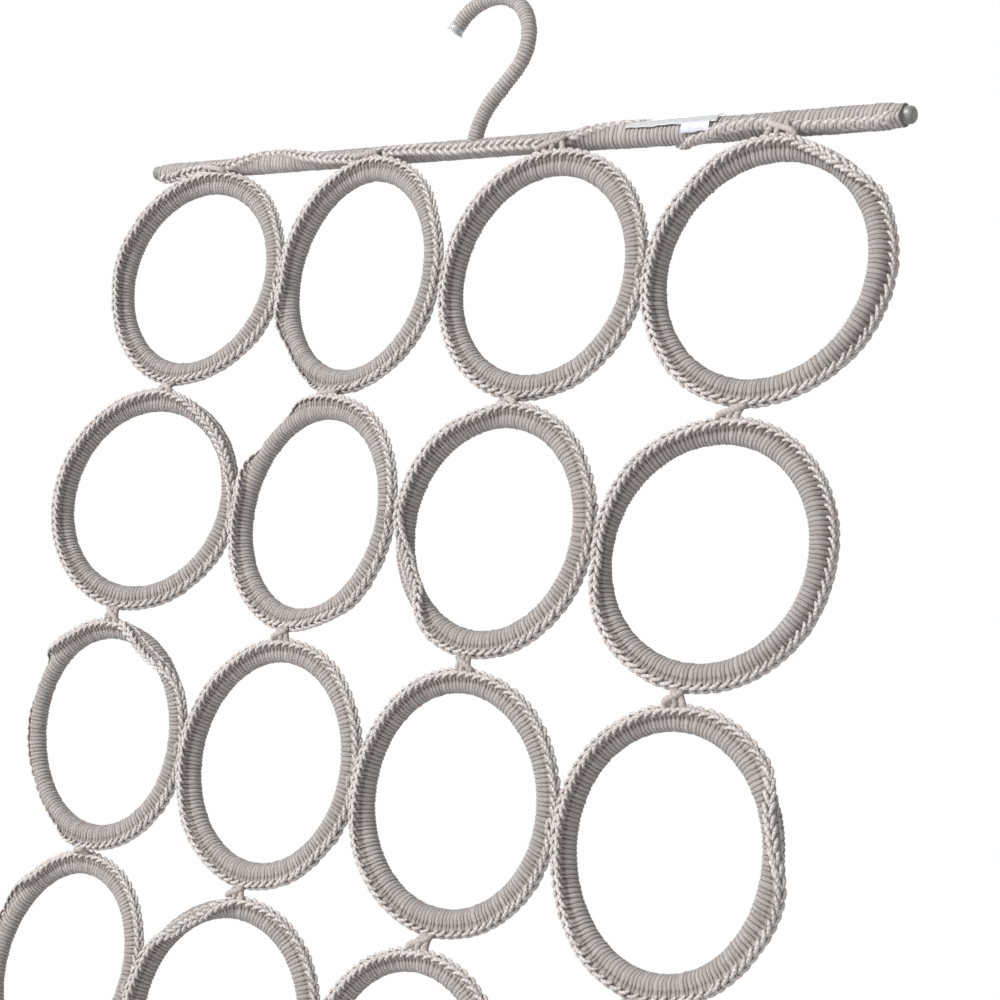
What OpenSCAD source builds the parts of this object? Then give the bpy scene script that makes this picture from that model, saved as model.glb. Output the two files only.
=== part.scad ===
// Scarf hanger: a cord-wound wire hook and rod, and a net of crocheted rings that hangs from the rod.
// Millimetres. The origin is the centre of the rail that the hook goes over, and the front is towards -Y.

/* [Rings] */
// Rings across the net
columns = 4; // [2:1:6]
// Rows of rings down the net
rows = 7; // [2:1:8]
// Hole through a covered ring, where the scarf goes
ring_hole_d = 83.8; // [60:0.2:110]
// Plastic ring inside the cover, across its section
core_d = 5; // [3:0.5:7]
// Cord wound over the plastic ring
ring_wind_t = 1.35; // [0.8:0.05:2.5]
// One cord of the crocheted chain that runs round the outside of a ring
chain_d = 3.4; // [2:0.1:4.4]
// How far the middle of a chain's cords stands off the winding
chain_lift = 0.6; // [0:0.1:1]
// Turn of the chain from the outside of the ring towards its front, in degrees
chain_lean = 35; // [20:1:60]
// Half the angle between the two cords of a chain
chain_spread = 18; // [12:1:24]

/* [Net] */
// Gap between rings side by side
side_gap = 0.4; // [0.3:0.1:2]
// Gap between rows, which the knots bridge
row_gap = 5; // [4:0.1:9]
// Gap between the wound rod and the first row
rod_gap = 1.6; // [1.2:0.1:4]
// Width of one stitch in a knot
stitch_w = 1.9; // [1.2:0.1:3]
// Stitches side by side in a knot
knot_stitches = 3; // [2:1:5]
// Turns of cord in each loop that ties the first row to the rod
loop_turns = 5; // [3:1:8]
// Size of the stitches that tie two rings side by side
tie_d = 3.5; // [2.5:0.1:4]

/* [Rod] */
// Length of the rod
rod_l = 412; // [400:1:520]
// Diameter of the rod
rod_d = 6.8; // [5:0.1:9]
// Rounding of the rod's ends
rod_round = 1.6; // [0.5:0.1:2.4]
// Rod left bare at each end
rod_bare = 4; // [1:0.5:12]
// How far the rod's middle lies to the right of the net's middle
rod_shift = 3; // [0:0.5:6]
// Cord wound over the rod
rod_wind_t = 0.85; // [0.6:0.05:2]
// Length over which the winding thins out at each end
rod_taper = 9; // [4:0.5:16]
// Chain cord along the rod
rod_chain_d = 3; // [2:0.1:3.4]
// How far the middle of the rod's chain cords stands off the winding
rod_chain_lift = 0.7; // [0.6:0.1:1]
// Rod left free of chain on each side of a ring's top
chain_stop = 21; // [18:0.5:30]

/* [Hook] */
// Height of the rail's centre over the rod
hook_to_rod = 44.8; // [40:0.1:70]
// Radius of the hook, to the middle of its wire
hook_r = 21.9; // [18:0.1:26]
// Diameter of the wire
wire_d = 3.8; // [2.5:0.1:5]
// Cord wound over the wire
hook_wind_t = 1.45; // [0.8:0.05:2.5]
// Where the winding ends at the tip, in degrees round from the right-hand side
wind_end = 153; // [120:1:165]
// Length of the cap on the tip
cap_l = 3; // [2:0.1:6]
// How far the cap's lip flares past the winding
cap_flare = 0.6; // [0.2:0.1:1.2]
// Lean of the neck below the hook, in degrees
neck_lean = 38; // [30:1:44]
// Straight length of the neck
neck_l = 14; // [8:0.5:18]
// Lean of the foot at the rod, in degrees
foot_lean = 8; // [2:1:14]
// Radius of the bend between neck and foot
foot_bend_r = 30; // [20:1:32]

/* [Tape] */
// Length of the clear tape on the rod
tape_l = 50; // [20:1:56]
// Thickness of the tape
tape_t = 0.25; // [0.1:0.05:0.5]
// Part of the way round that the tape covers, in degrees
tape_wrap = 170; // [60:5:180]

/* [Fit] */
// Room between a core, rod or wire and the cord wound on it
wind_clear = 0.05; // [0.02:0.01:0.15]
// Running room round what turns on the rod or between two rows
turn_clear = 0.3; // [0.2:0.05:0.6]

/* [Hidden] */
$fn = 64;
eps = 0.01;
// A straight run is this much thinner all round than the bends it runs into, and reaches this far into them
seat_step = 0.03;
seat_in = 0.3;

cord_colour = [0.77, 0.73, 0.69];
chain_colour = [0.72, 0.67, 0.62];
core_colour = [0.9, 0.88, 0.84];
steel_colour = [0.62, 0.63, 0.62];
clear_colour = [0.85, 0.87, 0.9, 0.4];

// Section of a covered ring
ring_wrap_d = core_d + 2 * (wind_clear + ring_wind_t);
ring_mid_r = (ring_hole_d + ring_wrap_d) / 2;
chain_seat = ring_wrap_d / 2 + chain_lift;
chain_out = chain_seat * cos(chain_lean - chain_spread) + chain_d / 2;
ring_out_r = ring_mid_r + max(chain_out, ring_wrap_d / 2);

// Rod and its winding
rod_wrap_d = rod_d + 2 * (wind_clear + rod_wind_t);
rod_wrap_l = rod_l - 2 * rod_bare;

// Places of the rings and of the lines that the rows fold on
column_pitch = 2 * ring_out_r + side_gap;
row_pitch = 2 * ring_out_r + row_gap;
first_z = -(hook_to_rod + rod_wrap_d / 2 + rod_gap + ring_out_r);
function ring_x(c) = (c - (columns + 1) / 2) * column_pitch;
function ring_z(r) = first_z - (r - 1) * row_pitch;
function fold_z(r) = ring_z(r) + row_pitch / 2;

// Turn of each ring about its own upright line, in degrees, as the crochet holds it.
// A row or column past the list starts again from its beginning.
ring_turns = [
    [3, -5, 1, 1],
    [9, -5, 0, 0],
    [2, -2, 0, -3],
    [-3, 3, -2, 1],
    [2, -3, 1, 2],
    [-2, 2, -1, 2],
    [1, -2, 2, -1]
];
function ring_turn(r, c) =
    let (turns = ring_turns[(r - 1) % len(ring_turns)])
    turns[(c - 1) % len(turns)];

// Hook: the arc over the rail, the straight neck, the bend and the foot in the rod
hook_wrap_d = wire_d + 2 * (wind_clear + hook_wind_t);
cap_t = 0.5;
neck_top = hook_r * [cos(neck_lean), -sin(neck_lean)];
neck_foot = neck_top - neck_l * [sin(neck_lean), cos(neck_lean)];
bend_centre = neck_foot + foot_bend_r * [cos(neck_lean), -sin(neck_lean)];
foot_top = bend_centre - foot_bend_r * [cos(foot_lean), -sin(foot_lean)];
foot_l = (hook_to_rod + foot_top[1]) / cos(foot_lean);

// Knots
knot_r = row_gap / 2 - turn_clear;
loop_d = (rod_gap - turn_clear) / 2;
loop_r = rod_wrap_d / 2 + turn_clear + loop_d / 2;

// Tape: between the loops of the last two columns
tape_x = (ring_x(columns - 1) + ring_x(columns)) / 2 - 3;

function ring_name(r, c) = str("ring_r", r, "_c", c, "_cover");

// Turns a child's Z axis to face the front
module face_front() {
    rotate([90, 0, 0]) children();
}

// Turns a child's Z axis to run along X, and its X axis to the top and back, away from the chains
module along_x() {
    rotate([0, 90, 0]) rotate(150) children();
}

// A 2D child swept round in the hook's plane, from one polar angle to another
module sweep(centre, radius, from, to) {
    face_front()
        translate(centre)
        rotate(from)
        rotate_extrude(angle = to - from)
        translate([radius, 0])
        children();
}

// A straight run of the hook between two points of its plane, seated in the bends at both ends
module straight(a, b, d) {
    run = b - a;
    face_front()
        translate(a)
        rotate(atan2(run[1], run[0]))
        translate([-seat_in, 0, 0])
        along_x()
        cylinder(d = d - 2 * seat_step, h = norm(run) + 2 * seat_in);
}

// The hook's whole line as a solid of diameter d, up to the polar angle tip
module hook_line(d, tip) {
    foot = foot_top - foot_l * [sin(foot_lean), cos(foot_lean)];
    union() {
        sweep([0, 0], hook_r, -neck_lean, tip) circle(d = d);
        straight(neck_foot, neck_top, d);
        sweep(bend_centre, foot_bend_r, 180 - neck_lean, 180 - foot_lean) circle(d = d);
        straight(foot, foot_top, d);
    }
}

// Moves a child to the end of the hook's arc at a polar angle, its Z axis along the arc
module at_arc(angle) {
    face_front()
        rotate(angle)
        translate([hook_r, 0])
        rotate([-90, 0, 0])
        children();
}

module hook_wire() {
    color(steel_colour) {
        hook_line(wire_d, wind_end);
        at_arc(wind_end) translate([0, 0, -seat_in]) cylinder(d = wire_d - 2 * seat_step, h = cap_l - cap_t + seat_in);
    }
}

module hook_winding() {
    color(cord_colour)
        difference() {
            hook_line(hook_wrap_d, wind_end);
            hook_line(wire_d + 2 * wind_clear, wind_end + 1);
            translate([0, 0, -hook_to_rod]) along_x() cylinder(d = rod_wrap_d, h = rod_l, center = true);
        }
}

// A clear cap over the end of the winding, flared to a lip
module hook_tip_cap() {
    body_r = hook_wrap_d / 2;
    lip_r = body_r + cap_flare;
    color(clear_colour)
        at_arc(wind_end)
        difference() {
            rotate_extrude()
                polygon([
                    [0, 0], [body_r, 0], [body_r, cap_l / 2], [lip_r, cap_l - cap_t], [lip_r, cap_l], [0, cap_l]
                ]);
            translate([0, 0, -eps]) cylinder(d = wire_d + 2 * wind_clear, h = cap_l - cap_t + eps + wind_clear);
        }
}

module rod() {
    flat = rod_d / 2 - rod_round;
    color(steel_colour)
        difference() {
            translate([rod_shift, 0, -hook_to_rod])
                along_x()
                rotate_extrude()
                union() {
                    translate([0, -rod_l / 2]) square([flat, rod_l]);
                    translate([0, -rod_l / 2 + rod_round]) square([rod_d / 2, rod_l - 2 * rod_round]);
                    for (s = [-1, 1]) translate([flat, s * (rod_l / 2 - rod_round)]) circle(r = rod_round);
                }
            hook_line(wire_d + 2 * wind_clear, 0);
        }
}

// A cord of length l along Z, with ends past it that taper to half its width
module tapered_cord(d, l) {
    rotate_extrude()
        polygon([
            [0, -l / 2 - d / 2], [d / 4, -l / 2 - d / 2], [d / 2, -l / 2],
            [d / 2, l / 2], [d / 4, l / 2 + d / 2], [0, l / 2 + d / 2]
        ]);
}

// One stretch of the two-cord chain along the rod
module rod_chain(x0, x1) {
    seat = rod_wrap_d / 2 + rod_chain_lift;
    for (s = [-1, 1]) {
        lean = chain_lean + s * chain_spread;
        translate([(x0 + x1) / 2, -seat * sin(lean), -seat * cos(lean)])
            along_x()
            tapered_cord(rod_chain_d, x1 - x0 + s * rod_chain_d / 3);
    }
}

module rod_winding() {
    half = rod_wrap_l / 2;
    bore_r = rod_d / 2 + wind_clear;
    end_r = bore_r + rod_wind_t / 3;
    chain_from = rod_shift - half + rod_taper + rod_chain_d;
    chain_to = rod_shift + half - rod_taper - rod_chain_d;
    color(cord_colour)
        difference() {
            union() {
                translate([rod_shift, 0, -hook_to_rod])
                    along_x()
                    rotate_extrude()
                    polygon([
                        [bore_r, -half], [end_r, -half], [rod_wrap_d / 2, -half + rod_taper],
                        [rod_wrap_d / 2, half - rod_taper], [end_r, half], [bore_r, half]
                    ]);
                translate([0, 0, -hook_to_rod]) {
                    rod_chain(chain_from, ring_x(1) - chain_stop);
                    for (c = [1:columns - 1]) rod_chain(ring_x(c) + chain_stop, ring_x(c + 1) - chain_stop);
                    rod_chain(ring_x(columns) + chain_stop, chain_to);
                }
            }
            hook_line(wire_d + 2 * wind_clear, 0);
        }
}

// Clear tape over the top and front of the wound rod
module rod_tape() {
    inner_r = rod_wrap_d / 2 + wind_clear;
    color(clear_colour)
        translate([tape_x - tape_l / 2, 0, -hook_to_rod])
        rotate([0, 90, 0])
        rotate(180 - tape_wrap / 2)
        rotate_extrude(angle = tape_wrap)
        translate([inner_r, 0])
        square([tape_t, tape_l]);
}

// Section of a ring's cover: the round winding and the two cords of the chain on its outer front
module cover_section() {
    translate([ring_mid_r, 0]) {
        circle(d = ring_wrap_d);
        for (s = [-1, 1]) rotate(chain_lean + s * chain_spread) translate([chain_seat, 0]) circle(d = chain_d);
    }
}

// Places a child that lies flat in XY, front up, as the ring in row r and column c
module at_ring(r, c) {
    translate([ring_x(c), 0, ring_z(r)]) rotate([0, 0, ring_turn(r, c)]) face_front() children();
}

module ring_cover(r, c) {
    color(chain_colour)
        at_ring(r, c)
        rotate_extrude()
        difference() {
            cover_section();
            translate([ring_mid_r, 0]) circle(d = core_d + 2 * wind_clear);
        }
}

module ring_cores(r) {
    color(core_colour)
        for (c = [1:columns]) at_ring(r, c) rotate_extrude() translate([ring_mid_r, 0]) circle(d = core_d);
}

// One stitch: a disc with a round rim, across Z
module stitch(r, w) {
    rotate_extrude() {
        translate([0, -w / 2]) square([r - w / 2, w]);
        translate([r - w / 2, 0]) circle(d = w);
    }
}

// A knot that turns in its own gap: stitches side by side along the fold line, over a round core
module knot() {
    w = min(stitch_w, knot_r);
    step = w - eps;
    along_x() {
        cylinder(r = knot_r - w / 6, h = (knot_stitches - 1) * step, center = true);
        for (i = [0:knot_stitches - 1]) translate([0, 0, (i - (knot_stitches - 1) / 2) * step]) stitch(knot_r, w);
    }
}

// A loop that swings on the rod: turns of cord side by side round its winding
module rod_loop() {
    for (i = [0:loop_turns - 1])
        translate([(i - (loop_turns - 1) / 2) * (loop_d - eps), 0, 0])
            along_x() rotate_extrude() translate([loop_r, 0]) circle(d = loop_d);
}

module row_knots(r) {
    color(cord_colour)
        for (c = [1:columns])
            if (r == 1) translate([ring_x(c), 0, -hook_to_rod]) rod_loop();
            else translate([ring_x(c), 0, fold_z(r)]) knot();
}

// Middle of a chain cord at a ring's side, seen from above: side is 1 at its right and -1 at its left, and
// lean is the cord's angle in the ring's section
function side_cord(r, c, side, lean) =
    let (
        turn = ring_turn(r, c),
        out = side * (ring_mid_r + chain_seat * cos(lean)),
        front = chain_seat * sin(lean)
    )
    [ring_x(c) + out * cos(turn) + front * sin(turn), out * sin(turn) - front * cos(turn)];

// The place in front of two cords at the distance reach from both, in a list that is empty if they are too far apart
function seats(a, b, reach) =
    let (run = b - a, rise_squared = reach * reach - run * run / 4)
    rise_squared < 0 ? [] : [(a + b) / 2 + sqrt(rise_squared) * [run[1], -run[0]] / norm(run)];

// Stitches in the groove between two rings side by side, where they come to rest on a cord of each ring
module side_tie(r, c) {
    leans = [chain_lean - chain_spread, chain_lean + chain_spread];
    reach = (chain_d + tie_d) / 2 + wind_clear;
    places = [
        for (a = leans) for (b = leans) each seats(side_cord(r, c, 1, a), side_cord(r, c + 1, -1, b), reach)
    ];
    front = min([for (p = places) p[1]]);
    place = [for (p = places) if (p[1] == front) p][0];
    w = 0.45 * tie_d;
    translate([place[0], place[1], ring_z(r)])
        for (i = [-1:1]) translate([0, 0, i * (w - eps)]) stitch(tie_d / 2, w);
}

module row_side_ties(r) {
    color(cord_colour) for (c = [1:columns - 1]) side_tie(r, c);
}

hook_wire();
hook_winding();
hook_tip_cap();
rod();
rod_winding();
rod_tape();
for (r = [1:rows]) {
    for (c = [1:columns]) ring_cover(r, c);
    ring_cores(r);
    row_knots(r);
    row_side_ties(r);
}
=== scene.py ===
"""Looks of the scarf hanger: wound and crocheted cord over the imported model."""
import math

import bpy
import numpy as np
from mathutils import Euler, Matrix, Vector


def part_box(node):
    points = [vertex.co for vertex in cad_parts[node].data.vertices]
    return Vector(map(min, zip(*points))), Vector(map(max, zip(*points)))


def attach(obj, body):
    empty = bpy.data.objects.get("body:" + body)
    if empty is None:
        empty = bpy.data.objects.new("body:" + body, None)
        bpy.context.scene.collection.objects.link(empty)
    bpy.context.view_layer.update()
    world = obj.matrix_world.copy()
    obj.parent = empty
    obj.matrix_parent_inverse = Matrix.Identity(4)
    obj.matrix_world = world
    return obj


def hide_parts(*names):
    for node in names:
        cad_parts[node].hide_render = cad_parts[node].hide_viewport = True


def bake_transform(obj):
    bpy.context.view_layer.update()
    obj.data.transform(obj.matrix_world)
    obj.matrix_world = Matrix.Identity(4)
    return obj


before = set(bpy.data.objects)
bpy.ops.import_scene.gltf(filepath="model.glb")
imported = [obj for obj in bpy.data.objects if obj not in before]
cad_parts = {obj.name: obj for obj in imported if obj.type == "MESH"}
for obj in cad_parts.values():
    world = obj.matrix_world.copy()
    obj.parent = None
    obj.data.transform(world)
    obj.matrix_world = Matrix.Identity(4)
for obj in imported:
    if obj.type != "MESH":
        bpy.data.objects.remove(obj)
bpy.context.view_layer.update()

# Lengths are in millimetres up to the making of each mesh
MM = 0.001
TAU = 2 * math.pi

# The design's own sizes, as in the part's source
COLUMNS, ROWS = 4, 7
RING_MID_R = 45.8
CORE_R = 2.5
ROD_Z = -44.8
ROD_R = 3.4
ROD_HALF = 206.0
ROD_ROUND = 1.9
ROD_WRAP_R = 4.3
ROD_SHIFT = 3.0
# The rod hangs a little lower on the left, about the hook's foot, and a little behind the net
ROD_SLOPE = 0.0133
ROD_PIVOT = 1.7
ROD_DROP = 1.2
ROD_BACK = 2.0
ROD_WRAP_HALF = 202.0
ROD_TAPER = 9.0
HOOK_R = 21.9
HOOK_WRAP_R = 3.4

# The cord as it shows: a ring's wound section, and the ridge under its chain, which is a smaller circle that
# the same cords are drawn over
COVER_R = 4.05
COVER_MID_R = RING_MID_R + 0.15
RIDGE_R, RIDGE_AT = 2.2, 4.8
RIDGE_TOP = RIDGE_R + RIDGE_AT
# How each ring hangs out of the flat net: millimetres right, back and up, degrees that its right edge and its
# bottom edge are pushed back, and millimetres that it is wider
RING_HANG = [
    [
        (0, 1, -0.5, 5, 0, 0), (0.5, 1, 0, -6, 3, 0.6),
        (0, -1, -1, 0, 1, 0), (1, 0, 0.5, 2, 0, 0.7),
    ],
    [
        (-1, -3.5, 0, 11.5, -2.5, 0.3), (0, 1, 1, -5, 1, 0),
        (0, -4, 1, -1, 1, -0.5), (-2, -2, 0, 3, -2, -0.5),
    ],
    [
        (0, -1, -1, 2, 3.5, 0.8), (0.5, 2, 0.5, -1, 0, 1.2),
        (0.5, 1.5, 0.5, 0, 3, 0.3), (0.5, -1, -1.5, -5, 2, 1.4),
    ],
    [
        (0, 1, 0, -2, -8, 0), (0.5, 0.5, -0.5, 7, -3, -0.4),
        (0, 2, -1.5, -2, 0, 0), (0, 0, 0, 1, 1, 0.4),
    ],
    [
        (0, 0, 0, 2, 2, 0.3), (0, -1, 0.5, -3, -2, 0),
        (0, 1, 0, 1, 3, 0.6), (0.5, 0, 0, 2, -2, 0),
    ],
    [
        (0, 1, 0.5, -2, 1, 0), (0, 0, 0, 2, -3, 0.5),
        (0, -1, 0.5, -1, 2, 0), (-0.5, 1, 0, 2, 2, 0.3),
    ],
    [
        (0.5, 0, 0, 1, -2, 0.4), (0, 1, 0, -2, 2, 0),
        (0, 0, -0.5, 2, -1, 0.3), (0, -1, 0, -1, 3, 0),
    ],
]


def rows_of(*arrays):
    """The arrays as numbers, stretched to one shape."""
    return [np.asarray(a, float) for a in np.broadcast_arrays(*arrays)]


def unit(v):
    return v / np.maximum(np.linalg.norm(v, axis=-1, keepdims=True), 1e-9)


def smooth_step(t):
    t = np.clip(t, 0, 1)
    return t * t * (3 - 2 * t)


def spline(points, count):
    """A smooth curve through a few points, as count points evenly spaced in its parameter."""
    p = np.asarray(points, float)
    p = np.vstack([2 * p[0] - p[1], p, 2 * p[-1] - p[-2]])
    spans = len(p) - 3
    t = np.linspace(0, spans, count)
    i = np.minimum(t.astype(int), spans - 1)
    u = (t - i)[:, None]
    a, b, c, d = p[i], p[i + 1], p[i + 2], p[i + 3]
    return 0.5 * (2 * b + (c - a) * u + (2 * a - 5 * b + 4 * c - d) * u**2 + (3 * b - a - 3 * c + d) * u**3)


class Batch:
    """Vertices, faces, yarn coordinates and painted shade that become one mesh."""

    def __init__(self):
        self.points, self.yarn, self.deep, self.faces, self.count = [], [], [], [], 0

    def add(self, points, yarn, deep, faces):
        self.points.append(points.reshape(-1, 3))
        self.yarn.append(yarn.reshape(-1, 3))
        self.deep.append(np.broadcast_to(deep, points.shape[:-1]).ravel())
        self.faces += [f + self.count for f in faces]
        self.count += len(self.points[-1])

    def make(self, name, material):
        points = np.vstack(self.points) * MM
        yarn = np.vstack(self.yarn)
        widths = np.concatenate([np.full(len(f), f.shape[1]) for f in self.faces])
        loops = np.concatenate([f.ravel() for f in self.faces])
        mesh = bpy.data.meshes.new(name)
        mesh.vertices.add(len(points))
        mesh.vertices.foreach_set("co", points.astype(np.float32).ravel())
        mesh.loops.add(len(loops))
        mesh.loops.foreach_set("vertex_index", loops.astype(np.int32))
        mesh.polygons.add(len(widths))
        starts = np.concatenate([[0], np.cumsum(widths)[:-1]])
        mesh.polygons.foreach_set("loop_start", starts.astype(np.int32))
        mesh.polygons.foreach_set("use_smooth", np.ones(len(widths), bool))
        attribute = mesh.attributes.new("yarn", "FLOAT_VECTOR", "POINT")
        attribute.data.foreach_set("vector", yarn.astype(np.float32).ravel())
        # Each vertex's painted shade, read by the cord materials
        attribute = mesh.attributes.new("deep", "FLOAT", "POINT")
        attribute.data.foreach_set("value", np.concatenate(self.deep).astype(np.float32))
        mesh.update(calc_edges=True)
        mesh.validate()
        mesh.materials.append(material)
        obj = bpy.data.objects.new(name, mesh)
        bpy.context.scene.collection.objects.link(obj)
        return obj


def grid_faces(rows, columns):
    """Quads of a grid whose columns close into a tube."""
    i = np.arange(rows - 1)[:, None]
    j = np.arange(columns)[None, :]
    k = (j + 1) % columns
    a, b = i * columns + j, i * columns + k
    return np.stack([a, b, b + columns, a + columns], -1).reshape(-1, 4)


def tube_caps(rows, columns):
    """The two end faces of a grid whose columns close into a tube."""
    first = np.arange(columns)
    return [first[::-1][None], (first + (rows - 1) * columns)[None]]


# How many plies a cord shows round it, and how many sides its mesh has
PLIES = 2.0
CORD_SIDES = 8


def tubes(batch, centres, up, across, thick, rng, sides=CORD_SIDES):
    """Cords along centres (n, m, 3), across wide and thick high. up points away from what they lie on."""
    n, m = centres.shape[:2]
    along = unit(np.gradient(centres, axis=1))
    up = unit(up - (up * along).sum(-1, keepdims=True) * along)
    side = np.cross(along, up)
    turn = np.arange(sides) * TAU / sides
    ring = (
        centres[:, :, None]
        - (thick[..., None] * np.cos(turn))[..., None] * up[:, :, None]
        + (across[..., None] * np.sin(turn))[..., None] * side[:, :, None]
    )
    steps = np.linalg.norm(np.diff(centres, axis=1), axis=-1)
    length = np.concatenate([np.zeros((n, 1)), np.cumsum(steps, 1)], 1) + rng.uniform(0, 9, (n, 1))
    yarn = np.zeros((n, m, sides, 3))
    yarn[..., 0] = length[..., None]
    yarn[..., 1] = PLIES * np.arange(sides) / sides
    yarn[..., 2] = rng.uniform(0, 1, (n, 1, 1))
    one = grid_faces(m, sides)
    quads = (one[None] + (np.arange(n) * m * sides)[:, None, None]).reshape(-1, 4)
    base = (np.arange(n) * m * sides)[:, None]
    start = base + np.arange(sides)[::-1]
    end = base + (m - 1) * sides + np.arange(sides)
    # Painted shade: each cord is darkened on the side that faces what it lies on
    deep = np.broadcast_to((1 + np.cos(turn)) / 2, (n, m, sides))
    batch.add(ring, yarn, deep, [quads, start, end])


def cord(batch, points, radius, rng, count):
    """One cord through a few points, a quarter thinner at both ends."""
    line = spline(points, count)[None]
    fade = 1 - 0.25 * np.abs(np.linspace(-1, 1, count)) ** 4
    r = radius * fade[None]
    tubes(batch, line, np.broadcast_to(np.array([0.0, -1.0, 0.0]), line.shape), r, r, rng)


class Axis:
    """A line that cord is wound on. place() takes a distance along it, an angle round it and a radius."""

    def place(self, a, turn, rho):
        a, turn, rho = rows_of(a, turn, rho)
        centre, out, front = self.frame(a)
        away = np.cos(turn)[..., None] * out + np.sin(turn)[..., None] * front
        return centre + rho[..., None] * away, away


class RingAxis(Axis):
    """The core of a ring. Distances run round it anticlockwise from its right side, seen from the front."""

    def __init__(self, row, column, rng):
        low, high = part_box(f"ring_r{row}_c{column}_cover")
        x = (low[0] + high[0]) / 2 / MM
        self.z = (low[2] + high[2]) / 2 / MM
        right, back, up, turn, tilt, wider = RING_HANG[row - 1][column - 1]
        self.middle = np.array([x + right, back, self.z + up])
        c, s = math.cos(math.radians(turn)), math.sin(math.radians(turn))
        ct, st = math.cos(math.radians(tilt)), math.sin(math.radians(tilt))
        turned = np.array([[c, -s, 0], [s, c, 0], [0, 0, 1.0]])
        tilted = np.array([[1.0, 0, 0], [0, ct, -st], [0, st, ct]])
        self.turned = turned @ tilted
        self.mid_r = COVER_MID_R + wider
        self.length = TAU * RING_MID_R
        self.bulge = [rng.uniform(-0.2, 0.2) for _ in range(4)]
        self.depth = [rng.uniform(-0.4, 0.4) for _ in range(4)]

    def frame(self, a):
        phi = a / RING_MID_R
        r = self.mid_r + self.bulge[0] * np.cos(2 * phi) + self.bulge[1] * np.sin(2 * phi)
        r = r + 0.5 * self.bulge[2] * np.cos(3 * phi) + 0.5 * self.bulge[3] * np.sin(3 * phi)
        y = self.depth[0] * np.cos(2 * phi) + self.depth[1] * np.sin(2 * phi)
        y = y + 0.4 * self.depth[2] * np.cos(3 * phi) + 0.4 * self.depth[3] * np.sin(3 * phi)
        out = np.stack([np.cos(phi), np.zeros_like(phi), np.sin(phi)], -1) @ self.turned.T
        front = np.broadcast_to(self.turned @ np.array([0.0, -1.0, 0.0]), out.shape)
        centre = self.middle + r[..., None] * out - y[..., None] * front
        return centre, out, front

    def at(self, degrees, lean=0.0, rho=0.0):
        """A point at degrees round the ring, lean degrees from its outside to its front, rho from its core."""
        a = np.array([math.radians(degrees) * RING_MID_R])
        return self.place(a, np.array([math.radians(lean)]), np.array([float(rho)]))[0][0]


def rod_height(a):
    """The height of the rod's axis at a distance along it."""
    return ROD_Z - ROD_DROP + ROD_SLOPE * (a - ROD_PIVOT)


class RodAxis(Axis):
    """The rod. The angle round it is 0 at the bottom, 90 degrees at the front and 180 on top."""

    def frame(self, a):
        centre = np.stack([a, np.full_like(a, ROD_BACK), rod_height(a)], -1)
        out = np.broadcast_to(np.array([0.0, 0.0, -1.0]), centre.shape)
        front = np.broadcast_to(np.array([0.0, -1.0, 0.0]), centre.shape)
        return centre, out, front


class LineAxis(Axis):
    """A line in the plane y = 0, given by points in x and z."""

    def __init__(self, points):
        closeness = 0.4
        p = np.asarray(points, float)
        s = np.concatenate([[0], np.cumsum(np.linalg.norm(np.diff(p, axis=0), axis=1))])
        self.length = s[-1]
        self.s = np.linspace(0, self.length, int(self.length / closeness))
        self.p = np.stack([np.interp(self.s, s, p[:, k]) for k in (0, 1)], -1)
        self.t = unit(np.gradient(self.p, axis=0))

    def frame(self, a):
        x, z = (np.interp(a, self.s, self.p[:, k]) for k in (0, 1))
        tx, tz = (np.interp(a, self.s, self.t[:, k]) for k in (0, 1))
        zero = np.zeros_like(x)
        centre = np.stack([x, zero, z], -1)
        out = unit(np.stack([tz, zero, -tx], -1))
        front = np.broadcast_to(np.array([0.0, -1.0, 0.0]), centre.shape)
        return centre, out, front


# Across one strand: how far along its width each row of vertices lies, and how far it sinks there
STRAND_U = np.array([-1.0, -0.82, -0.45, 0.0, 0.45, 0.82])
STRAND_DIP = 1 - np.sqrt(1 - STRAND_U**2)
# How much one strand's width and height differ from another's, and the step in tone from strand to strand, in
# which near strands never match
STRAND_WIDTHS = (0.86, 1.14)
STRAND_HEIGHTS = 0.07
STRAND_TONE = 0.6180339
# Under a chain: how far the columns crowd to the ridge, how fast the ridge ends before the chain, how far a
# pair of strands is drawn together and the painted shade at its edges, and the crease with its painted
# shade. Angles are in radians.
RIDGE_CROWD = 0.4
RIDGE_FRONT = 0.32
PAIR_DRAWN, PAIR_PAINTED_SHADE = 0.3, 0.35
CREASE_AT, CREASE_WIDE, CREASE_PAINTED_SHADE = 0.44, 0.12, 0.5


def ridge_profile():
    """How far cords drawn over a core and a small ridge stand off the core, by angle away from the ridge."""
    away = np.radians(np.arange(0, 181, 2.0))
    facing = np.radians(np.arange(-180, 181, 2.0))
    reach = np.maximum(COVER_R, RIDGE_AT * np.cos(facing) + RIDGE_R)
    meets = np.cos(away[:, None] - facing[None, :])
    return away, np.where(meets > 0.05, reach / np.maximum(meets, 0.05), 99).min(1) - COVER_R


RIDGE_AWAY, RIDGE_RISE = ridge_profile()


def helix_ends(rows, columns, step):
    """The two end caps of a grid whose last column meets its first column step rows on."""
    first = [np.arange(columns)[::-1], np.arange(1, step + 1) * columns]
    last = (rows - 1) * columns
    second = [last + np.arange(columns), (rows - 1 - np.arange(1, step + 1)) * columns + columns - 1]
    return np.concatenate(first)[None], np.concatenate(second)[None]


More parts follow.
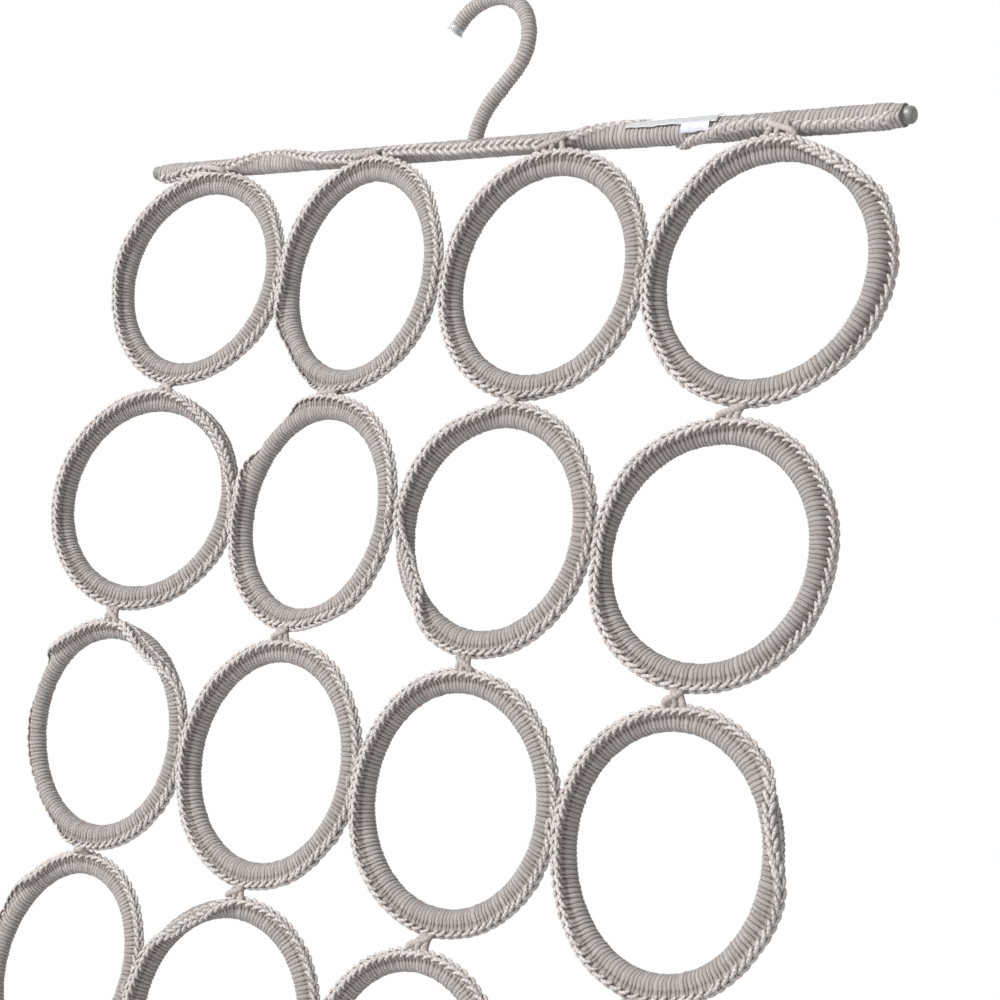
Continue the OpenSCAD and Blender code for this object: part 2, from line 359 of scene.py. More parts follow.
def winding(
    batch, axis, start, end, turns, radius, rng, around,
    valley=0.62, closed=False, lean=None, ridge=0.0, thin=None,
):
    """Cord wound round an axis from start to end. Each turn is a round strand, and the turns climb a helix.

    Under a chain at the angle lean(a) pairs of strands draw together over a ridge. thin(a) scales the radius.
    """
    per = len(STRAND_U)
    rows = turns * per
    widths = rng.uniform(*STRAND_WIDTHS, turns)
    edges = np.concatenate([[0], np.cumsum(widths)]) * (end - start) / widths.sum()
    heights = rng.normal(0, STRAND_HEIGHTS, turns + 1)
    i = np.arange(rows + (0 if closed else 1))
    j = np.arange(around)
    strand = i // per
    across = (STRAND_U[i % per] + 1) / 2
    climb = j / around
    s = (strand + across)[:, None] + climb[None, :]
    whole = np.floor(s / turns) if closed else np.zeros_like(s)
    inside = np.clip(s - whole * turns, 0, turns)
    a = start + np.interp(inside, np.arange(turns + 1), edges) + whole * (end - start)
    turn = np.broadcast_to(climb[None, :] * TAU, a.shape)
    rho = radius - valley * STRAND_DIP[i % per][:, None] + heights[strand % (turns + 1)][:, None]
    # Painted shade in the valleys between strands, darker the further a row sinks
    deep = np.broadcast_to((STRAND_DIP[i % per] ** 0.8)[:, None], a.shape)
    if lean is not None:
        # The columns crowd towards the ridge, and the helix's seam lies opposite
        away = turn - math.pi
        away = away - RIDGE_CROWD * np.sin(away)
        turn = lean(a) + away
        # Drawn straight to the core behind the chain, and round with a crease before it
        rise = np.interp(np.abs(away), RIDGE_AWAY, RIDGE_RISE)
        rise = np.where(away > 0, RIDGE_RISE[0] * np.exp(-((away / RIDGE_FRONT) ** 2)), rise)
        pull = np.exp(-(away**2))
        pair = s - 2 * np.floor(s / 2) - 1
        a = a - PAIR_DRAWN * (end - start) / turns * pair * pull * (1 - np.abs(pair) ** 3)
        rho = rho + ridge * rise
        # Painted shade at the edges of each drawn pair and in the crease before the ridge
        crease = np.exp(-(((away - CREASE_AT) / CREASE_WIDE) ** 2))
        deep = deep + PAIR_PAINTED_SHADE * pull * np.abs(pair) ** 6 + CREASE_PAINTED_SHADE * ridge * crease
    if thin is not None:
        rho = rho * thin(a)
    points, _ = axis.place(a, turn, rho)
    yarn = np.zeros(points.shape)
    yarn[..., 0] = s * TAU * radius
    yarn[..., 1] = s
    yarn[..., 2] = ((strand * STRAND_TONE) % 1.0)[:, None]
    # The last column of each row meets the first column one strand on
    count = len(i)
    r = np.arange(rows if closed else rows - per)[:, None]
    c = np.full_like(r, around - 1)
    seam = [
        r * around + c,
        (r + per) % count * around,
        (r + per + 1) % count * around,
        (r + 1) % count * around + c,
    ]
    r, c = np.arange(rows)[:, None], j[None, :-1]
    below = (r + 1) % count * around + c
    inner = [r * around + c, r * around + c + 1, below + 1, below]
    faces = [np.stack(np.broadcast_arrays(*quad), -1).reshape(-1, 4) for quad in (seam, inner)]
    if not closed:
        faces += helix_ends(rows + 1, around, per)
    batch.add(points, yarn, deep, faces)


# One leg of a chain stitch: along in stitches, sideways and height in millimetres, and its half width. The
# right leg starts a little later.
LEG_POINTS = 12
LEG_LATER = 0.12
LEG = np.array(
    [
        [-0.16, 0.12, -0.45, 0.48],
        [0.14, 0.46, 0.22, 0.68],
        [0.50, 1.05, 0.52, 0.80],
        [0.85, 1.62, 0.36, 0.78],
        [1.10, 2.04, -0.18, 0.66],
        [1.26, 2.36, -0.95, 0.48],
    ]
)


def chain(batch, axis, marks, lean, radius, rng, size=1.0, reach=1.0):
    """A chain of two-legged stitches, one from each mark along an axis, at the angle lean(a) round it."""
    marks = np.asarray(marks, float)
    pitch = np.diff(marks).mean()
    shape = spline(LEG, LEG_POINTS)
    for hand in (-1, 1):
        n = len(marks)
        wide = 1 + rng.normal(0, 0.07, (n, 1))
        high = 1 + rng.normal(0, 0.10, (n, 1))
        jog = rng.normal(0, 0.05, (n, 1))
        a = marks[:, None] + pitch * (reach * shape[None, :, 0] + jog + (LEG_LATER if hand > 0 else 0))
        b = hand * size * shape[None, :, 1] * wide + rng.normal(0, 0.06, (n, 1))
        rho = radius + size * shape[None, :, 2] * high
        turn = lean(a) + b / (radius + 0.9)
        points, away = axis.place(a, turn, rho)
        half = size * shape[None, :, 3] * (1 + rng.normal(0, 0.04, (n, 1)))
        tubes(batch, points, away, half, half * 0.92, rng)


def bumps(batch, axis, marks, lean, radius, rng, offset, size):
    """The short bars beside a chain, one a stitch, that show from the outside and the back."""
    marks = np.asarray(marks, float)
    pitch = np.diff(marks).mean()
    shape = spline([[0.05, 0.5, -0.5], [0.3, 0.1, 0.25], [0.75, -0.1, 0.3], [1.05, 0.5, -0.4]], 8)
    n = len(marks)
    a = marks[:, None] + pitch * (shape[None, :, 0] + rng.normal(0, 0.06, (n, 1)))
    turn = lean(a) + offset + shape[None, :, 1] * size / (radius + 0.5) * np.sign(offset) * -1
    rho = radius + shape[None, :, 2] * size
    points, away = axis.place(a, turn, rho)
    half = np.full(a.shape, 0.72 * size)
    tubes(batch, points, away, half, half * 0.9, rng, 6)


# Materials


def node_kit(material):
    """A function that makes nodes: _name sets a property, iN input N, and anything else an input by name."""
    tree = material.node_tree
    tree.nodes.clear()

    def node(kind, **inputs):
        made = tree.nodes.new(kind)
        for key, value in inputs.items():
            if key.startswith("_"):
                setattr(made, key[1:], value)
                continue
            socket = made.inputs[int(key[1:])] if key[0] == "i" and key[1:].isdigit() else made.inputs[key]
            if isinstance(value, bpy.types.NodeSocket):
                tree.links.new(value, socket)
            else:
                socket.default_value = value
        return made

    return tree, node


def calculate(node, operation, *values):
    """The result of a Math node."""
    inputs = {f"i{k}": value for k, value in enumerate(values)}
    return node("ShaderNodeMath", _operation=operation, **inputs).outputs[0]


# Painted shade: what a cord's colour is multiplied by in its recesses, where shade falls
CORD_PAINTED_SHADE = (0.36, 0.29, 0.25)
# A cord's fibres and mottling, as noise scales, and what the fibres add to its height
FIBRE_SCALE, PATCH_SCALE = 1150.0, 45.0
FUZZ = 0.8


def yarn_material(name, dark, light, ply, bump):
    """Matte twisted cotton cord: slanted plies from the yarn coordinates, fibres and mottling from noise, and
    painted shade in its recesses from a mesh attribute.
    """
    material = bpy.data.materials.new(name)
    material.use_nodes = True
    tree, node = node_kit(material)
    yarn = node("ShaderNodeAttribute", _attribute_name="yarn")
    parts = node("ShaderNodeSeparateXYZ", i0=yarn.outputs["Vector"])
    place = node("ShaderNodeTexCoord")
    object_place = place.outputs["Object"]
    along = calculate(node, "DIVIDE", parts.outputs[0], ply)
    slant = calculate(node, "ADD", along, parts.outputs[1])
    plies = calculate(node, "SINE", calculate(node, "MULTIPLY", slant, TAU))
    fibre = node("ShaderNodeTexNoise", Vector=object_place, Scale=FIBRE_SCALE, Detail=3.0, Roughness=0.6)
    patch = node("ShaderNodeTexNoise", Vector=object_place, Scale=PATCH_SCALE, Detail=3.0, Roughness=0.55)
    fibre, patch = fibre.outputs["Fac"], patch.outputs["Fac"]
    height = calculate(node, "MULTIPLY_ADD", fibre, FUZZ, calculate(node, "MULTIPLY", plies, 0.5))
    surface = node("ShaderNodeBump", Strength=bump, Distance=0.00022, Height=height)
    tone = calculate(node, "MULTIPLY", parts.outputs[2], 0.3)
    for source, share in ((patch, 0.35), (plies, 0.2), (fibre, 0.9)):
        tone = calculate(node, "MULTIPLY_ADD", source, share, tone)
    colour = node("ShaderNodeMix", _data_type="RGBA", _clamp_factor=True)
    tree.links.new(tone, colour.inputs["Factor"])
    colour.inputs[6].default_value = (*dark, 1)
    colour.inputs[7].default_value = (*light, 1)
    # Painted shade: the colour is multiplied towards a dark brown where the vertex attribute marks valleys,
    # creases and undersides
    deep = node("ShaderNodeAttribute", _attribute_name="deep")
    painted_shade_factor = node("ShaderNodeMapRange", _interpolation_type="SMOOTHSTEP", Value=deep.outputs["Fac"])
    painted_shade_factor.inputs["From Min"].default_value = 0.28
    painted_shade_factor.inputs["From Max"].default_value = 0.95
    shaded = node("ShaderNodeMix", _data_type="RGBA", _blend_type="MULTIPLY", _clamp_factor=True)
    tree.links.new(painted_shade_factor.outputs[0], shaded.inputs["Factor"])
    tree.links.new(colour.outputs[2], shaded.inputs[6])
    shaded.inputs[7].default_value = (*CORD_PAINTED_SHADE, 1)
    shader = node("ShaderNodeBsdfPrincipled", Normal=surface.outputs["Normal"], Roughness=0.86)
    tree.links.new(shaded.outputs[2], shader.inputs["Base Color"])
    shader.inputs["Specular IOR Level"].default_value = 0.25
    shader.inputs["Sheen Weight"].default_value = 0.25
    shader.inputs["Sheen Roughness"].default_value = 0.5
    shader.inputs["Sheen Tint"].default_value = (0.95, 0.92, 0.9, 1)
    node("ShaderNodeOutputMaterial", Surface=shader.outputs[0])
    return material


def plain_material(name, colour, rough, metal=0.0, grain=0.06, scale=900.0, through=0.0):
    """Plastic or metal with a fine grain in its colour, gloss and surface."""
    material = bpy.data.materials.new(name)
    material.use_nodes = True
    tree, node = node_kit(material)
    place = node("ShaderNodeTexCoord")
    noise = node("ShaderNodeTexNoise", Vector=place.outputs["Object"], Scale=scale, Detail=4.0)
    worn = node("ShaderNodeMapRange", Value=noise.outputs["Fac"])
    worn.inputs["To Min"].default_value = 1 - grain * 2
    worn.inputs["To Max"].default_value = 1 + grain * 2
    tint = node("ShaderNodeVectorMath", _operation="SCALE", i0=colour[:3])
    tree.links.new(worn.outputs[0], tint.inputs["Scale"])
    gloss = node("ShaderNodeMapRange", Value=noise.outputs["Fac"])
    gloss.inputs["To Min"].default_value = max(rough - 0.08, 0.02)
    gloss.inputs["To Max"].default_value = min(rough + 0.08, 1)
    surface = node("ShaderNodeBump", Strength=0.12, Distance=0.0001, Height=noise.outputs["Fac"])
    shader = node("ShaderNodeBsdfPrincipled", Metallic=metal, Normal=surface.outputs["Normal"])
    tree.links.new(tint.outputs[0], shader.inputs["Base Color"])
    tree.links.new(gloss.outputs[0], shader.inputs["Roughness"])
    shader.inputs["Transmission Weight"].default_value = through
    node("ShaderNodeOutputMaterial", Surface=shader.outputs[0])
    return material


CORD_DARK, CORD_LIGHT = (0.29, 0.25, 0.225), (0.60, 0.565, 0.543)
wound_look = yarn_material("wound_cord", CORD_DARK, CORD_LIGHT, ply=1.5, bump=0.6)
chain_look = yarn_material("crochet_cord", CORD_DARK, CORD_LIGHT, ply=1.5, bump=0.7)
# The knots and side ties take a darker copy of the cord's colours: painted shade, for cords that lie between
# the rings
painted_shade_knot_look = yarn_material("knot_cord", (0.20, 0.165, 0.15), (0.47, 0.42, 0.395), ply=1.6, bump=0.45)
core_look = plain_material("ring_core", (0.72, 0.70, 0.64), 0.5)
wire_look = plain_material("wire", (0.5, 0.51, 0.5), 0.35, metal=1.0)
rod_look = plain_material("rod", (0.21, 0.215, 0.195), 0.42, metal=0.25, grain=0.12, scale=260.0)
clear_look = plain_material("clear_plastic", (0.62, 0.63, 0.64), 0.2, grain=0.04, through=0.45)
film_look = plain_material("film", (0.44, 0.45, 0.46), 0.22, grain=0.08)
# A lighter, lilac film colour: a painted highlight, the reflection on the clear tape
film_highlight_look = plain_material("film_painted_highlight", (0.52, 0.52, 0.60), 0.3, grain=0.08)


def finish_piece(obj, body, slot, *nodes):
    """Lets a piece ride on a body and stand for CAD nodes. Its slot is not used."""
    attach(obj, body)
    if nodes:
        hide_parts(*nodes)
    return obj


# Rings

RING_STITCHES = 79
RING_COLUMNS = 32
ring_axes = {}

# Where a ring's chain runs: degrees round the ring, and degrees from its outside towards its front
CHAIN_RUN = [
    (-60, 26), (-45, 24), (-30, 20), (-15, 20), (0, 22), (15, 24), (30, 24), (45, 20), (60, 25), (75, 37),
    (90, 50), (105, 62), (120, 72), (135, 80), (150, 84), (180, 84), (195, 80), (210, 72), (225, 62),
    (240, 48), (255, 38), (270, 31), (285, 32),
]
# Where single rings differ from that, one list for each stretch
CHAIN_STRAYS = {
    (1, 1): [[(180, 75), (190, 78)], [(280, 37), (300, 32)]],
    (1, 2): [[(165, 88), (185, 90), (200, 60), (215, -20), (240, -15), (256, 20)]],
    (1, 4): [
        [(-30, 10), (0, 10), (30, 28), (45, 70), (60, 85), (75, 80), (86, 62)],
        [(135, 87), (160, 87)],
    ],
    (2, 1): [[(8, 52), (18, 66), (30, 70), (45, 74), (60, 76), (75, 62)]],
    (2, 2): [[(95, 35), (110, 18), (124, -30), (148, -32), (158, 25), (170, 78)], [(278, 47), (296, 47)]],
    (2, 3): [
        [(100, 75), (112, 80), (124, 80)],
        [(178, 95), (192, 120), (200, 140), (222, 140), (234, 95), (245, 55)],
    ],
    (2, 4): [[(-30, 16), (45, 22)], [(98, 70), (112, 80)], [(180, 100), (192, 106), (203, 90)]],
    (3, 1): [
        [(52, 97), (64, 104), (75, 82), (84, 60)],
        [(138, 50), (150, -30), (166, -30), (178, -12), (200, -15), (215, -30), (245, -20), (257, 20)],
    ],
    (3, 3): [[(212, 62), (250, 38)]],
    (3, 4): [
        [(-15, 12), (-5, 18), (10, 60), (24, 64), (42, 14), (75, 30)],
        [(184, 90), (208, 86), (225, 72)],
    ],
}
# Where the ridge stands out behind the chain: middle and half length in degrees round the ring, and degrees
RIDGE_BACK = {(2, 4): (8, 52, 26), (1, 4): (-8, 40, 24)}


# The last row whose rings the photograph shows whole
LAST_SEEN_ROW = 3
# How close to a stretch, in degrees, the usual run gives way to it
STRAY_MARGIN = 10
RING_DEGREES = np.arange(0, 361, 1.0)


def near_stretch(degrees, stretch):
    low, high = stretch[0][0] - STRAY_MARGIN, stretch[-1][0] + STRAY_MARGIN
    return any(low < degrees + turn < high for turn in (0, 360))


def once_round(run):
    """A run as two rows, degrees round the ring from 0 to 360 and the angle there."""
    return np.array(sorted((x % 360, y) for x, y in run), float).T


def chain_angles(rng, row, column):
    """The angle of a ring's chain at each degree round it. It wanders between the outside and the front."""
    strays = CHAIN_STRAYS.get((row, column), [])
    if row > LAST_SEEN_ROW:
        # These rings stray as those that the photograph shows whole do
        middle = rng.uniform(20, 300)
        further = np.interp(middle, *once_round(CHAIN_RUN)) + rng.choice([-75, 45])
        strays = [[(middle - 12, further), (middle + 12, further)]]
    run = [knot for knot in CHAIN_RUN if not any(near_stretch(knot[0], stretch) for stretch in strays)]
    for stretch in strays:
        run = run + stretch
    at, angle = once_round(run)
    smooth = np.interp(RING_DEGREES, at, angle, period=360)
    shifts = [rng.uniform(-1, 1) for _ in range(4)]
    smooth = smooth + 3 * shifts[0] * np.cos(np.radians(4 * RING_DEGREES) + 3 * shifts[1])
    smooth = smooth + 2 * shifts[2] * np.cos(np.radians(9 * RING_DEGREES) + 3 * shifts[3])
    window = np.hanning(13)
    return np.convolve(np.concatenate([smooth[-7:-1], smooth, smooth[1:7]]), window / window.sum(), "valid")


def ring_lean(rng, row, column):
    """Two functions of the distance round a ring: the angle of its chain, and of the ridge under it."""
    angles = chain_angles(rng, row, column)
    middle, half, back = RIDGE_BACK.get((row, column), (0, 1, 0))

    def lean(a):
        return np.radians(np.interp(np.degrees(a / RING_MID_R) % 360, RING_DEGREES, angles))

    def ridge_lean(a):
        off = (np.degrees(a / RING_MID_R) - middle + 180) % 360 - 180
        return lean(a) - math.radians(back) * smooth_step(1.6 - np.abs(off) / half)

    return lean, ridge_lean


def make_ring(row, column):
    """The cord on one ring: its winding, its chain and the bars behind the chain."""
    rng = np.random.default_rng(100 * row + column)
    axis = RingAxis(row, column, rng)
    lean, ridge_lean = ring_lean(rng, row, column)
    batch = Batch()
    stitches = RING_STITCHES + int(rng.integers(-1, 2))
    turns = 2 * stitches
    winding(
        batch, axis, 0, axis.length, turns, COVER_R, rng, RING_COLUMNS,
        closed=True, lean=ridge_lean, ridge=1.0,
    )
    marks = np.linspace(0, axis.length, stitches, endpoint=False)
    marks = marks + rng.normal(0, 0.12, stitches)
    chain(batch, axis, marks, lean, RIDGE_TOP, rng)
    bumps(batch, axis, marks, lean, COVER_R + 0.3, rng, math.radians(-40), size=0.85)
    name = f"ring_r{row}_c{column}"
    piece = batch.make(f"{name}_crochet", chain_look)
    finish_piece(piece, f"row_{row}", "crochet_cord", f"{name}_cover")
    ring_axes[row, column] = axis, lean


def make_cores(row):
    """The plastic rings that a row's cords are wound on, where those rings hang."""
    batch = Batch()
    around, sides = 72, 12
    last = (around - 1) * sides
    for column in range(1, COLUMNS + 1):
        axis = ring_axes[row, column][0]
        a = np.broadcast_to(np.arange(around)[:, None] * axis.length / around, (around, sides))
        turn = np.broadcast_to(np.arange(sides) * TAU / sides, a.shape)
        points, _ = axis.place(a, turn, CORE_R)
        # The last quads join the last circle of points to the first
        closing = grid_faces(2, sides)
        closing = np.where(closing < sides, closing + last, closing - sides)
        batch.add(points, np.zeros(points.shape), 0.0, [np.vstack([grid_faces(around, sides), closing])])
    piece = batch.make(f"row_{row}_plastic_rings", core_look)
    finish_piece(piece, f"row_{row}", "ring_core", f"row_{row}_ring_cores")


for row in range(1, ROWS + 1):
    for column in range(1, COLUMNS + 1):
        make_ring(row, column)
    make_cores(row)


# Knots between rows, and ties between rings side by side


# How far from a ring's core the knots and the side ties take hold of its chain
KNOT_HOLD, TIE_HOLD = 7.2, 6.6
KNOT_CORD_R, TIE_CORD_R = 1.25, 0.95


def knot_tie(batch, above, below, rng, wide):
    """Three fat cords side by side from above to below, spread at the foot, and one that crosses them."""
    above, below = np.asarray(above, float), np.asarray(below, float)
    side = rng.choice([-1.0, 1.0])
    places = ((-2.6, -1.5, 0.0), (-0.2, 0.1, -0.5), (2.5, 1.6, 0.1), (3.4 * side, -1.9 * side, -1.2))
    for low, high, front in places:
        low, high = wide * low + rng.uniform(-0.3, 0.3), wide * high + rng.uniform(-0.3, 0.3)
        start = above + (high, 0.9, 0.5)
        end = below + (low * 1.25, 0.9, -0.6)
        upper = (above * 3 + below) / 4 + (high, front - 0.5, 0)
        lower = (above + below * 3) / 4 + (low, front - 0.5, 0)
        cord(batch, [start, upper, lower, end], KNOT_CORD_R * rng.uniform(0.92, 1.08), rng, 14)


def hold_chain(row, column, degrees, aside):
    """The point where a knot takes hold of a ring's chain, a few degrees aside from the chain's middle."""
    axis, lean = ring_axes[row, column]
    angle = math.degrees(lean(math.radians(degrees) * RING_MID_R))
    return axis.at(degrees, angle - aside, KNOT_HOLD)


def make_knots(row):
    """The knots over one row. Those of row 1 turn with it on the rod, and the others stay where they are made.
    """
    rng = np.random.default_rng(1000 + row)
    batch = Batch()
    for column in range(1, COLUMNS + 1):
        off = rng.uniform(-1.5, 1.5)
        top = hold_chain(row, column, 90 - off, 4)
        if row == 1:
            x = top[0] - 1.0
            above = (x, ROD_BACK - 6.0, rod_height(x) - 0.6)
        else:
            above = hold_chain(row - 1, column, 270 + off, 2)
        knot_tie(batch, above, top, rng, 1.8 if row == 1 else 1.15)
    piece = batch.make(f"row_{row}_knot_cords", painted_shade_knot_look)
    if row == 1:
        finish_piece(piece, "row_1", "knot_cord", "row_1_knots")
        return
    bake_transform(piece)
    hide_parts(f"row_{row}_knots")


def make_side_ties(row):
    """Three crossed cords between each two rings side by side."""
    rng = np.random.default_rng(2000 + row)
    batch = Batch()
    for column in range(1, COLUMNS):
        left = ring_axes[row, column][0].at(rng.uniform(-2, 2), 48, TIE_HOLD)
        right = ring_axes[row, column + 1][0].at(180 + rng.uniform(-2, 2), 30, TIE_HOLD)
        middle = (left + right) / 2
        for k, (rise, slope) in enumerate(((-1.1, 1.8), (1.0, -1.7), (0.0, 0.5))):
            lift = np.array([0, -0.5 - 0.35 * k, rise])
            low = np.array([0, 1.2, rise - slope])
            high = np.array([0, 1.2, rise + slope])
            cord(batch, [left + low, middle + lift, right + high], TIE_CORD_R, rng, 12)
    piece = batch.make(f"row_{row}_side_tie_cords", painted_shade_knot_look)
    finish_piece(piece, f"row_{row}", "knot_cord", f"row_{row}_side_ties")


for row in range(1, ROWS + 1):
    make_knots(row)
    make_side_ties(row)

# Rod

rng = np.random.default_rng(7)
rod_axis = RodAxis()
ROD_START, ROD_END = ROD_SHIFT - ROD_WRAP_HALF, ROD_SHIFT + ROD_WRAP_HALF
# Where the chain runs round the rod: distance along the rod, and angle from the bottom towards the front
ROD_CHAIN_PATH = [
    (-200, 25), (-188, 35), (-172, 62), (-160, 72), (-146, 78), (-136, 108), (-124, 142), (-110, 138),
    (-98, 100), (-80, 72), (-62, 64), (-50, 84), (-30, 86), (-8, 72), (14, 74), (34, 68), (46, 52), (56, 80),
    (66, 118), (78, 146), (88, 175), (98, 240), (106, 320), (114, 385), (122, 405), (130, 432), (144, 440),
    (156, 428), (166, 412), (196, 410), (203, 430),
]
ROD_TURNS, ROD_COLUMNS = 202, 28
ROD_RIDGE = 0.55
ROD_STITCH = 4.0


def rod_lean(a):
    """The angle of the chain round the rod at a distance along it."""
    x, angle = np.array(ROD_CHAIN_PATH, float).T
    return np.radians(np.interp(a, x, angle))


def rod_thin(a):
    """A factor on the winding's radius, which is thinner at both ends and fuller towards the right."""
    left = smooth_step((a - ROD_START) / ROD_TAPER)
    right = smooth_step((ROD_END - a) / ROD_TAPER)
    return (0.87 + 0.13 * left * right) * (1 + 0.2 * smooth_step((a - 20) / 120))


def make_rod_wrapping():
    batch = Batch()
    winding(
        batch, rod_axis, ROD_START, ROD_END, ROD_TURNS, ROD_WRAP_R, rng, ROD_COLUMNS,
        valley=0.6, lean=rod_lean, ridge=ROD_RIDGE, thin=rod_thin,
    )
    marks = np.arange(ROD_START + 4, ROD_END - 6, ROD_STITCH)
    marks = marks + rng.normal(0, 0.15, len(marks))
    chain(batch, rod_axis, marks, rod_lean, ROD_WRAP_R + 1.1, rng, size=1.12, reach=0.75)
    finish_piece(batch.make("rod_wrapping", wound_look), "root", "wound_cord", "rod_winding")


def lathe(name, profile, material):
    """A solid turned about the rod's axis from a profile of distances along it and radii."""
    around = 48
    profile = np.asarray(profile, float)
    a = np.broadcast_to(profile[:, :1], (len(profile), around))
    turn = np.broadcast_to(np.arange(around) * TAU / around, a.shape)
    points, _ = rod_axis.place(a, turn, np.broadcast_to(profile[:, 1:], a.shape))
    batch = Batch()
    faces = [grid_faces(len(profile), around), *tube_caps(len(profile), around)]
    batch.add(points, np.zeros(points.shape), 0.0, faces)
    return batch.make(name, material)


def film(name, start, end, low, high, material, rise=0.0, thick=0.18):
    """A thin piece of film laid on the rod's winding, between two places along it and two angles round it."""
    rows, half = 40, 12
    a = np.broadcast_to(np.linspace(start, end, rows)[:, None], (rows, 2 * half))
    u = np.concatenate([np.linspace(0, 1, half), np.linspace(1, 0, half)])
    # Wavy edges, and a surface that isn't quite smooth
    edge = 1.5 * np.sin(a * 0.9) + 2 * np.sin(a * 0.37 + 1)
    turn = np.radians(low + edge + (high - low - edge + 2 * np.sin(a * 0.45)) * u)
    rho = ROD_WRAP_R * rod_thin(a) + 0.75 + rise + 0.08 * np.sin(a * 1.3 + 5 * turn)
    rho = rho + np.repeat([thick, 0.0], half)
    points, _ = rod_axis.place(a, turn, rho)
    batch = Batch()
    faces = [grid_faces(rows, 2 * half), *tube_caps(rows, 2 * half)]
    batch.add(points, np.zeros(points.shape), 0.0, faces)
    return batch.make(name, material)


def make_rod_bar():
    """The round-ended bar that the cord is wound on."""
    bend = np.radians(np.linspace(90, 0, 9))
    end = [(ROD_HALF - ROD_ROUND * (1 - math.sin(t)), ROD_R - ROD_ROUND * (1 - math.cos(t))) for t in bend]
    profile = [(ROD_SHIFT - a, r) for a, r in end] + [(ROD_SHIFT + a, r) for a, r in end[::-1]]
    finish_piece(lathe("rod_bar", profile, rod_look), "root", "rod", "rod")


make_rod_wrapping()
finish_piece(film("rod_clear_film", 83, 127, 104, 170, film_look), "root", "clear_plastic", "rod_tape")
# A lighter patch laid over the film: painted highlight where the clear tape reflects the light
finish_piece(film("rod_film_painted_highlight", 111, 124, 66, 108, film_highlight_look, 0.25, 0.3), "root", "clear_plastic")
make_rod_bar()

# Hook


# The hook's neck leans, its foot stands nearly upright, and its arc ends at the tip, all in degrees
HOOK_LEAN, HOOK_FOOT, HOOK_TIP = 38, 8, 153
HOOK_NECK_L, HOOK_BEND_R = 14.0, 30.0
# How far the winding starts inside the rod, which hangs lower here, and how far its turns are apart
HOOK_SINK = 5
HOOK_TURN = 1.6


def hook_points():
    """The hook's line in x and z, from the rod to the tip, as the part's source has it."""
    lean, foot = math.radians(HOOK_LEAN), math.radians(HOOK_FOOT)
    neck_top = HOOK_R * np.array([math.cos(lean), -math.sin(lean)])
    neck_foot = neck_top - HOOK_NECK_L * np.array([math.sin(lean), math.cos(lean)])
    centre = neck_foot + HOOK_BEND_R * np.array([math.cos(lean), -math.sin(lean)])
    foot_top = centre - HOOK_BEND_R * np.array([math.cos(foot), -math.sin(foot)])
    foot_l = (-ROD_Z + foot_top[1]) / math.cos(foot)
    start = foot_top - (foot_l - ROD_WRAP_R + HOOK_SINK) * np.array([math.sin(foot), math.cos(foot)])
    bend = [
        centre - HOOK_BEND_R * np.array([math.cos(t), -math.sin(t)])
        for t in np.linspace(foot, lean, 16)
    ]
    arc = [
        HOOK_R * np.array([math.cos(t), math.sin(t)])
        for t in np.radians(np.linspace(-HOOK_LEAN, HOOK_TIP, 90))
    ]
    return np.array([start, *bend, *arc])


def make_hook_wrapping():
    axis = LineAxis(hook_points())
    batch = Batch()
    winding(batch, axis, 0, axis.length, int(axis.length / HOOK_TURN), HOOK_WRAP_R, rng, 24, valley=0.5)
    finish_piece(batch.make("hook_wrapping", wound_look), "root", "wound_cord", "hook_winding")


make_hook_wrapping()

# CAD nodes that stay

for name, look in (("hook_tip_cap", clear_look), ("hook_wire", wire_look)):
    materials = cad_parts[name].data.materials
    materials.clear()
    materials.append(look)

# Camera, light and floor

CAMERA_PLACE = (0.5456, -0.6112, -0.2888)
# Degrees about x, y and z
CAMERA_TURN = (96.72, -10.01, 37.83)
CAMERA_LENS = 70.46


def make_camera():
    data = bpy.data.cameras.new("camera")
    data.sensor_width = 36
    data.lens = CAMERA_LENS
    data.clip_end = 50
    camera = bpy.data.objects.new("camera", data)
    turn = Euler([math.radians(angle) for angle in CAMERA_TURN]).to_matrix().to_4x4()
    camera.matrix_world = Matrix.Translation(CAMERA_PLACE) @ turn
    bpy.context.scene.collection.objects.link(camera)
    bpy.context.scene.camera = camera


def area_light(name, place, target, size, power, colour):
    """A round lamp at a place in metres, turned to a target."""
    data = bpy.data.lights.new(name, "AREA")
    data.shape = "DISK"
    data.size = size
    data.energy = power
    data.color = colour
    obj = bpy.data.objects.new(name, data)
    obj.rotation_euler = (Vector(target) - Vector(place)).to_track_quat("-Z", "Y").to_euler()
    obj.location = place
    bpy.context.scene.collection.objects.link(obj)


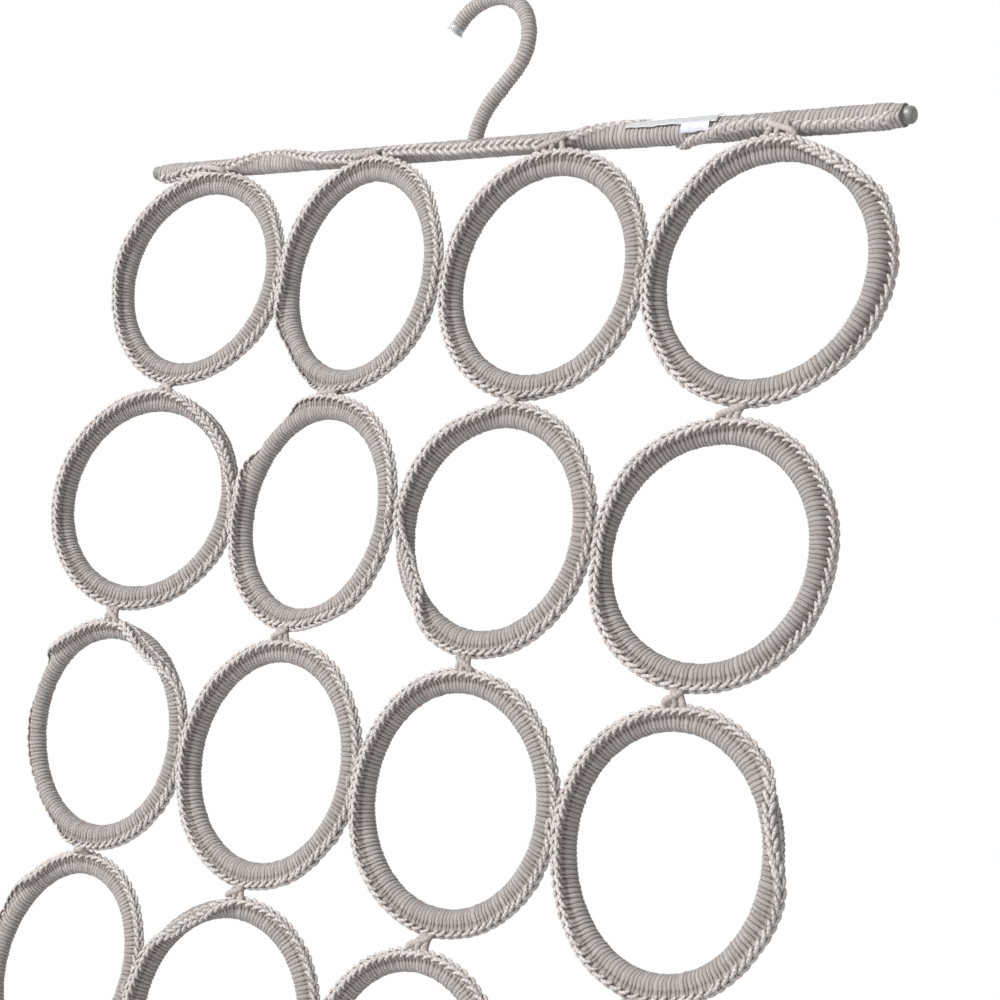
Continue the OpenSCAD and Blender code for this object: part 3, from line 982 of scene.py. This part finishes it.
def background(tree, colour, strength):
    made = tree.nodes.new("ShaderNodeBackground")
    made.inputs["Color"].default_value = (*colour, 1)
    made.inputs["Strength"].default_value = strength
    return made.outputs[0]


def largest(tree, first, second):
    made = tree.nodes.new("ShaderNodeMath")
    made.operation = "MAXIMUM"
    tree.links.new(first, made.inputs[0])
    tree.links.new(second, made.inputs[1])
    return made.outputs[0]


def make_world():
    """A soft even light, seen as white by the camera and in gloss and glass."""
    world = bpy.data.worlds.new("world")
    bpy.context.scene.world = world
    world.use_nodes = True
    tree = world.node_tree
    tree.nodes.clear()
    rays = tree.nodes.new("ShaderNodeLightPath").outputs
    seen = largest(tree, rays["Is Camera Ray"], rays["Is Glossy Ray"])
    mix = tree.nodes.new("ShaderNodeMixShader")
    tree.links.new(largest(tree, seen, rays["Is Transmission Ray"]), mix.inputs[0])
    tree.links.new(background(tree, (0.9, 0.92, 0.95), 0.40), mix.inputs[1])
    tree.links.new(background(tree, (1, 1, 1), 1.0), mix.inputs[2])
    out = tree.nodes.new("ShaderNodeOutputWorld")
    tree.links.new(mix.outputs[0], out.inputs["Surface"])


FLOOR_HALF, FLOOR_Z = 2.5, -0.98


def make_floor():
    h = FLOOR_HALF
    mesh = bpy.data.meshes.new("floor")
    mesh.from_pydata([(x, y, FLOOR_Z) for x, y in ((-h, -h), (h, -h), (h, h), (-h, h))], [], [(0, 1, 2, 3)])
    mesh.materials.append(plain_material("floor", (0.82, 0.82, 0.82), 0.9, grain=0.01, scale=30.0))
    floor = bpy.data.objects.new("floor", mesh)
    bpy.context.scene.collection.objects.link(floor)


make_camera()
area_light("key", (-1.15, -2.4, 1.0), (0, 0, -0.3), 1.3, 94, (1.0, 0.99, 0.985))
area_light("fill", (0.9, -2.2, 0.3), (0, 0, -0.4), 1.8, 13, (0.98, 0.99, 1.0))
area_light("rim", (-0.6, 2.0, 0.9), (0, 0, -0.4), 1.8, 22, (1.0, 1.0, 1.0))
make_world()
make_floor()

bpy.context.scene.view_settings.view_transform = "Standard"
